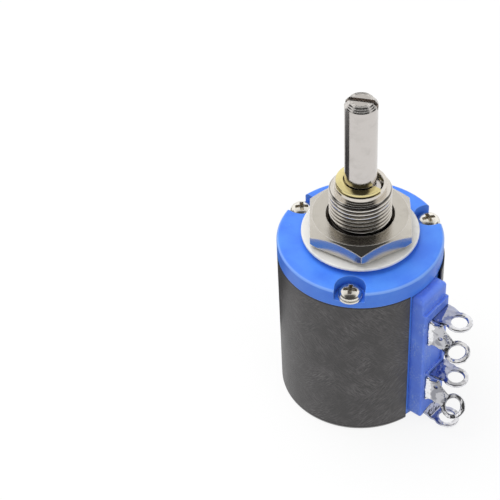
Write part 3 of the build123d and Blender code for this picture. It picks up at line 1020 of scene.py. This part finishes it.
@dataclass
class CoverScrews:
    """Three domed screws with a washer face and a tapered cross recess.

    Sizes are in millimetres. The tip gives radius and level above the shank's end, the face
    gives share of the head's radius and level, and the dome gives shares of the head's radius
    and height.
    """

    node: bpy.types.Object
    twists: tuple[float, ...] = (42.0, 31.0, 57.0)
    recess: float = 1.0
    recess_w: float = 0.6
    recess_d: float = 0.62
    taper: float = 0.72
    rise: float = 1.2
    shank_r: float = 0.8
    tip: tuple[Corner, ...] = ((0.0, 0.0), (0.5, 0.0), (0.8, 0.4))
    face: tuple[Corner, ...] = (
        (0.97, 0.0), (1.0, 0.05), (1.0, 0.26), (0.97, 0.32), (0.9, 0.34), (0.9, 0.42),
        (0.95, 0.46))
    dome: tuple[Corner, ...] = (
        (0.96, 0.5), (0.9, 0.68), (0.75, 0.84), (0.5, 0.95), (0.25, 0.99), (0.0, 1.0))
    # Where the recess faces that take the painted shade lie, in shares of the recess and the
    # head.
    dark_reach: float = 1.05
    dark_floor: float = 0.3
    dark_roof: float = 0.86
    crease: float = 40.0
    # The recess faces that take the painted shade.
    dark: list[int] = field(default_factory=list)

    def recess_tool(self) -> bpy.types.Object:
        """One arm of the cross at the origin, narrower below.

        Returns:
            The tool.
        """
        Bench.clear()
        bpy.ops.mesh.primitive_cube_add(size=1.0)
        tool = Bench.named("recess_tool")
        tool.scale = (2 * self.recess * MM, self.recess_w * MM, 2 * self.recess_d * MM)
        Bench.settle(tool)
        bpy.ops.object.mode_set(mode="EDIT")
        bpy.ops.mesh.select_all(action="DESELECT")
        bpy.ops.object.mode_set(mode="OBJECT")
        for vertex in tool.data.vertices:
            vertex.select = vertex.co.z < 0
        bpy.ops.object.mode_set(mode="EDIT")
        bpy.ops.transform.resize(value=(self.taper, self.taper, 1.0),
                                 center_override=(0.0, 0.0, 0.0))
        bpy.ops.object.mode_set(mode="OBJECT")
        return tool

    def screw(self, radius: float, shank: float) -> bpy.types.Object:
        """One screw at the origin, with the underside of its head at level 0.

        Args:
            radius: The head's radius.
            shank: The shank's length.

        Returns:
            The screw.
        """
        outline = [(out, up - shank) for out, up in self.tip] + [(self.shank_r, 0.0)]
        outline += [(radius * out, up) for out, up in self.face]
        outline += [(radius * out, self.rise * up) for out, up in self.dome]
        piece = Bench.turn("cover_screw_1", outline)
        for turn in (0.0, 90.0):
            tool = self.recess_tool()
            Bench.shift(tool, turn, Vector((0.0, 0.0, self.rise * MM)))
            Bench.cut(piece, tool)
        return piece

    def recess_faces(self, screw: bpy.types.Object) -> list[int]:
        """Finds the cross recess of the screw at the origin, whose faces take the painted
        shade.

        Args:
            screw: The screw.

        Returns:
            Numbers of the faces inside the recess.
        """
        reach = self.dark_reach * self.recess * MM
        floor, roof = self.dark_floor * MM, self.dark_roof * self.rise * MM
        return [face.index for face in screw.data.polygons
                if floor < face.center.z < roof and face.center.xy.length < reach]

    def build(self) -> list[bpy.types.Object]:
        """Models one screw and copies it to the other places.

        Returns:
            The three screws.
        """
        boxes = Bench.islands(Bench.copy_node(self.node, "screw_places"))
        low, high = boxes[0]
        radius = (high.x - low.x) / 2 / MM
        first = self.screw(radius, (high.z - low.z) / MM - self.rise)
        self.dark = self.recess_faces(first)
        screws = [first] + [Bench.copy(first, f"cover_screw_{n}") for n in (2, 3)]
        for screw, twist, (low, high) in zip(screws, self.twists, boxes):
            middle = (low + high) / 2
            Bench.shift(screw, twist, Vector((middle.x, middle.y, high.z - self.rise * MM)))
            Bench.smooth(screw, self.crease)
        return screws


@dataclass
class ShaftAndClip:
    """The shaft, with the gap that shows through the clip's opening, and the clip.

    Sizes are in millimetres. The gap gives its inner and outer radius and its lower and upper
    level, and each tip groove gives its radius and how far it lies under the tip.
    """

    shaft: bpy.types.Object
    clip: bpy.types.Object
    gap: tuple[float, float, float, float] = (1.98, 2.6, 33.5, 34.3)
    opening: float = 95.0
    clip_turn: float = 47.0
    clip_bore: float = 1.74
    clip_rim: float = 3.05
    clip_lip: float = 2.16
    clip_slope: float = 0.27
    clip_break: float = 0.05
    clip_round: tuple[float, float] = (0.03, 0.09)
    steps: int = 96
    groove: float = 0.06
    tip_grooves: tuple[tuple[float, float], ...] = (
        (1.84, 0.41), (1.67, 0.2), (1.42, 0.0), (1.2, 0.0))

    def build_shaft(self) -> bpy.types.Object:
        """Cuts the gap round the shaft at the bushing's mouth, and the turned rings of its tip.

        Returns:
            The shaft.
        """
        piece = Bench.copy_node(self.shaft, "stepped_shaft")
        near, far, low, high = self.gap
        ring = [(near, low), (far, low), (far, high), (near, high)]
        Bench.cut(piece, Bench.turn("gap_tool", ring, self.steps, True))
        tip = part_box(self.shaft.name)[1].z / MM
        for radius, down in self.tip_grooves:
            level = tip - down
            diamond = [(radius - self.groove, level), (radius, level - self.groove),
                       (radius + self.groove, level), (radius, level + self.groove)]
            Bench.cut(piece, Bench.turn("groove_tool", diamond, self.steps, True))
        Bench.smooth(piece)
        return piece

    def build_clip(self) -> bpy.types.Object:
        """An open ring whose inner edge slopes down to the shaft's groove.

        Returns:
            The clip.
        """
        low, high = (corner.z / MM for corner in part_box(self.clip.name))
        rim, small, large = self.clip_rim, *self.clip_round
        ring = [(self.clip_bore, low), (rim - self.clip_break, low),
                (rim, low + self.clip_break), (rim, high - large), (rim - small, high - small),
                (rim - large, high), (self.clip_lip, high),
                (self.clip_bore, high - self.clip_slope)]
        sweep = math.radians(360.0 - self.opening)
        piece = Bench.turn("open_clip", ring, self.steps, True, sweep)
        Bench.shift(piece, self.clip_turn - self.opening / 2, Vector((0.0, 0.0, 0.0)))
        Bench.smooth(piece)
        return piece


@dataclass
class SolderLug:
    """One solder-dipped lug: its edges rounded, its faces lumpy.

    Sizes are in millimetres. Those from face_x on shape the base of a lug that stands on edge:
    the block's face, the plate that leaves it, the hollows in its upper and lower edge, and
    the blobs of solder, each with its place out along the plate, its level and its radius.
    """

    node: bpy.types.Object
    on_edge: bool = False
    voxel: float = 0.07
    lump: float = 0.14
    lump_size: float = 1.1
    soften: float = 0.5
    soften_rounds: int = 4
    crease: float = 80.0
    face_x: float = 11.92
    plate_l: float = 1.7
    plate_top: float = 2.15
    plate_edge: float = 2.13
    scallop_r: float = 1.15
    scallop_d: float = 0.3
    scallop_l: float = 3.0
    scallop_steps: int = 48
    blob_in: float = 0.1
    blob_slope: float = 0.2
    blobs: tuple[tuple[float, float, float], ...] = (
        (0.26, -1.85, 0.27), (0.22, -0.75, 0.2), (0.2, 0.3, 0.22), (0.24, 1.25, 0.19),
        (0.3, 1.95, 0.28), (1.62, 1.95, 0.25))

    def hollow(self, piece: bpy.types.Object, place: Vector) -> None:
        """Cuts one round hollow across the plate.

        Args:
            piece: The copy of the lug.
            place: The middle of the hollow, in millimetres.
        """
        Bench.clear()
        bpy.ops.mesh.primitive_cylinder_add(vertices=self.scallop_steps,
                                            radius=self.scallop_r * MM,
                                            depth=self.scallop_l * MM)
        tool = Bench.named("scallop_tool")
        tool.rotation_euler = (math.radians(90.0), 0.0, 0.0)
        tool.location = place * MM
        Bench.settle(tool)
        Bench.cut(piece, tool)

    def add_blob(self, piece: bpy.types.Object, place: Vector, radius: float) -> None:
        """Adds one blob of solder.

        Args:
            piece: The copy of the lug.
            place: The middle of the blob, in millimetres.
            radius: Its radius.
        """
        Bench.clear()
        bpy.ops.mesh.primitive_ico_sphere_add(subdivisions=3, radius=radius * MM)
        blob = Bench.named("solder_blob")
        blob.location = place * MM
        Bench.settle(blob)
        Bench.cut(piece, blob, "UNION")

    def shape_plate(self, piece: bpy.types.Object) -> None:
        """Hollows the upper and lower edge of an upright base, and adds blobs of solder.

        Args:
            piece: The copy of the lug.
        """
        points = [vertex.co for vertex in piece.data.vertices]
        middle = max(point.z for point in points) / MM - self.plate_top
        y = min(point.y for point in points if point.x < self.face_x * MM) / MM
        reach = self.plate_edge + self.scallop_r - self.scallop_d
        for side in (1.0, -1.0):
            self.hollow(piece, Vector((self.face_x + self.plate_l / 2, y,
                                       middle + side * reach)))
        for out, up, radius in self.blobs:
            depth = y + self.blob_in + self.blob_slope * out
            self.add_blob(piece, Vector((self.face_x + out, depth, middle + up)), radius)

    def build(self) -> bpy.types.Object:
        """Remeshes a copy of the plain lug, rounds it and adds the lumps.

        Returns:
            The tinned lug.
        """
        piece = Bench.copy_node(self.node, f"tinned_{self.node.name}")
        if self.on_edge:
            self.shape_plate(piece)
        Bench.modify(piece, "REMESH", mode="VOXEL", voxel_size=self.voxel * MM)
        Bench.modify(piece, "SMOOTH", factor=self.soften, iterations=self.soften_rounds)
        lumps = bpy.data.textures.get("solder") or bpy.data.textures.new("solder", "CLOUDS")
        lumps.noise_scale = self.lump_size * MM
        Bench.modify(piece, "DISPLACE", texture=lumps, strength=self.lump * MM, mid_level=0.5)
        Bench.smooth(piece, self.crease)
        return piece


@dataclass
class CameraRig:
    """The camera, aimed beside the part so that the part stands right of the middle.

    Angles are in degrees, the lens in millimetres and other lengths in metres.
    """

    azimuth: float = 37.0
    elevation: float = 42.0
    distance: float = 0.184
    look_height: float = 0.030
    pan: float = 4.2245
    tilt: float = -1.661
    roll: float = 0.381
    lens: float = 107.24
    nearest: float = 0.005

    @staticmethod
    def swung(first: Vector, second: Vector, degrees: float) -> tuple[Vector, Vector]:
        """Turns two square directions in their plane.

        Args:
            first: The first direction.
            second: The second direction.
            degrees: How far the first goes towards the second.

        Returns:
            Both, turned.
        """
        along, across = math.cos(math.radians(degrees)), math.sin(math.radians(degrees))
        return first * along + second * across, second * along - first * across

    def build(self) -> bpy.types.Object:
        """Adds the camera and makes it the scene's.

        Returns:
            The camera.
        """
        rise = math.radians(self.elevation)
        back = Vector((0.0, -math.cos(rise), math.sin(rise)))
        ahead = -back
        right = Vector((1.0, 0.0, 0.0))
        up = right.cross(ahead)
        right, ahead = self.swung(right, ahead, self.pan)
        ahead, up = self.swung(ahead, up, self.tilt)
        right, up = self.swung(right, up, self.roll)
        turn = Matrix.Rotation(math.radians(self.azimuth), 4, "Z")
        pose = Matrix((right, up, -ahead)).transposed().to_4x4()
        pose.translation = Vector((0.0, 0.0, self.look_height)) + back * self.distance
        bpy.ops.object.camera_add()
        camera = Bench.named("camera")
        camera.matrix_world = turn @ pose
        camera.data.lens = self.lens
        camera.data.clip_start = self.nearest
        bpy.context.scene.camera = camera
        return camera


@dataclass(frozen=True)
class Lamp:
    """One soft square lamp aimed at the part: angles in degrees, lengths in metres."""

    name: str
    bearing: float
    rise: float
    distance: float
    size: float
    power: float

    def build(self) -> None:
        """Adds the lamp."""
        flat = self.distance * math.cos(math.radians(self.rise))
        bearing = math.radians(self.bearing)
        place = Vector((flat * math.cos(bearing), flat * math.sin(bearing),
                        self.distance * math.sin(math.radians(self.rise))))
        bpy.ops.object.light_add(type="AREA", location=place)
        lamp = Bench.named(self.name)
        lamp.rotation_euler = (-place).to_track_quat("-Z", "Y").to_euler()
        lamp.data.size = self.size
        lamp.data.energy = self.power
        lamp.visible_glossy = False


@dataclass(frozen=True)
class Flag:
    """One dark board beside the part: angles in degrees, lengths in millimetres."""

    name: str
    bearing: float
    out: float
    width: float
    high: float
    facing: float
    thick: float = 2.0

    def build(self) -> None:
        """Adds the board, which shows only in what the metal reflects."""
        angle = math.radians(self.bearing)
        place = Vector((self.out * math.cos(angle), self.out * math.sin(angle), self.high / 2))
        Bench.clear()
        bpy.ops.mesh.primitive_cube_add(size=1.0, location=place * MM)
        flag = Bench.named(self.name)
        flag.scale = Vector((self.thick, self.width, self.high)) * MM
        flag.rotation_euler = (0.0, 0.0, math.radians(self.facing))
        Bench.settle(flag)
        Finishes.dark_board.value.dress(flag)
        flag.visible_camera = flag.visible_diffuse = flag.visible_shadow = False


@dataclass
class Studio:
    """Floor, dark boards, lamps and the world."""

    floor_size: float = 4.0
    sky: Colour = (0.62, 0.62, 0.62)
    camera_bearing: float = -53.0
    dark_rise: float = 55.0
    dark_step: Step = (0.62, 0.78)
    horizon: Step = (0.42, 0.56)
    behind: Step = (-0.45, -0.15)
    overhead: Step = (0.45, 0.95)
    room_low: Colour = (1.1, 1.1, 1.1)
    room_high: Colour = (0.8, 0.79, 0.77)
    room_dark: Colour = (0.05, 0.05, 0.05)
    flags: tuple[Flag, ...] = (
        Flag("near_flag", 200.0, 34.0, 34.0, 22.0, 180.0),
        Flag("far_flag", 193.4, 21.6, 20.0, 22.0, 127.0),
    )
    lamps: tuple[Lamp, ...] = (
        Lamp("top_lamp", 190.0, 66.0, 0.5, 0.4, 1.6),
        Lamp("front_lamp", -20.0, 35.0, 0.5, 0.3, 0.35),
    )

    def build(self) -> None:
        """Adds the floor, the boards, the lamps and the world."""
        self._floor()
        for thing in (*self.flags, *self.lamps):
            thing.build()
            LOG.info("placed %s", thing.name)
        self._world()

    def _floor(self) -> None:
        """A plain pale floor that shows white around the part's soft shadow."""
        bpy.ops.mesh.primitive_plane_add(size=self.floor_size, location=(0.0, 0.0, 0.0))
        floor = Bench.named("floor")
        Bench.settle(floor)
        Finishes.floor_paper.value.dress(floor)

    def _room(self, net: Net) -> Value:
        """What the metal reflects: a bright room, dark on the camera's side.

        Args:
            net: The net of the world.

        Returns:
            The colour.
        """
        x, y, z = net.split(net.node("ShaderNodeTexCoord", {}, {}, "Generated"))
        bearing = math.radians(self.camera_bearing)
        ahead = x * math.cos(bearing) + y * math.sin(bearing)
        rise = math.radians(self.dark_rise)
        toward = ahead * math.cos(rise) + z * math.sin(rise)
        low = (1.0 - z.above(*self.horizon)) * ahead.above(*self.behind)
        dark = net.node("ShaderNodeMath", {"operation": "MAXIMUM"},
                        {0: toward.above(*self.dark_step), 1: low})
        room = net.mix(z.above(*self.overhead), self.room_low, self.room_high)
        return net.mix(dark, room, self.room_dark)

    def _world(self) -> None:
        """White to the eye, the room in reflections, and an even light for the rest."""
        world = bpy.data.worlds.new("studio")
        bpy.context.scene.world = world
        world.use_nodes = True
        net = Net(world.node_tree)
        light = net.mix(net.ray("Glossy"), self.sky, self._room(net))
        colour = net.mix(net.ray("Camera"), light, WHITE)
        sky = net.node("ShaderNodeBackground", {}, {"Color": colour, "Strength": 1.0})
        net.node("ShaderNodeOutputWorld", {}, {0: sky})


@dataclass
class Potentiometer:
    """The whole part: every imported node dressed, and the pieces that replace some."""

    nodes: dict[str, bpy.types.Object]
    slots: dict[str, str]
    bodies: dict[str, str]

    def finish(self, node: str) -> Finish:
        """Looks up a finish: a node's own, or else its slot's.

        Args:
            node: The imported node.

        Returns:
            The finish.
        """
        # The terminal block takes a paler copy of the blue moulding, painted light for its
        # shaded faces.
        own = {"hex_nut": Finishes.nickel_nut, "panel_washer": Finishes.satin_nickel,
               "terminal_block": Finishes.worn_moulding}
        if node.endswith("_lug") and "_tap_" not in node:
            return Finishes.tinned_blade.value
        return own.get(node, Finishes[self.slots[node]]).value

    def dress_all(self) -> None:
        """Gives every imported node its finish."""
        for name, node in self.nodes.items():
            self.finish(name).dress(node)
            LOG.info("dressed %s", name)

    def stand_in(self, piece: bpy.types.Object, node: str) -> None:
        """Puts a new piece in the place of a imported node.

        Args:
            piece: The new piece.
            node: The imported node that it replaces.
        """
        self.finish(node).dress(piece)
        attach(piece, self.bodies[node])
        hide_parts(node)
        LOG.info("%s replaces %s", piece.name, node)

    def build(self) -> None:
        """Dresses the nodes and builds the new pieces."""
        self.dress_all()
        self.stand_in(Bushing(self.nodes["bushing"]).build(), "bushing")
        fastening = CoverScrews(self.nodes["cover_screws"])
        for screw in fastening.build():
            self.stand_in(screw, "cover_screws")
            # The recess faces take the second material, the painted shade.
            screw.data.materials.append(Finishes.dark_recess.value.material())
            for number in fastening.dark:
                screw.data.polygons[number].material_index = 1
        spindle = ShaftAndClip(self.nodes["shaft"], self.nodes["retaining_clip"])
        self.stand_in(spindle.build_shaft(), "shaft")
        self.stand_in(spindle.build_clip(), "retaining_clip")
        for name in [name for name in self.nodes if name.endswith("_lug")]:
            self.stand_in(SolderLug(self.nodes[name], on_edge="_tap_" in name).build(), name)


def main() -> None:
    """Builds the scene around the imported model."""
    logging.basicConfig(level=logging.INFO, format="%(message)s")
    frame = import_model()
    record = frame["record"]
    bodies = {n: body for body, names in record["behaviour"]["bodies"].items() for n in names}
    slots = {part["node"]: part["material_slot"] for part in record["subparts"]}
    bpy.context.scene.view_settings.view_transform = "Standard"
    CameraRig().build()
    Studio().build()
    Potentiometer(frame["nodes"], slots, bodies).build()


if __name__ == "__main__":
    main()
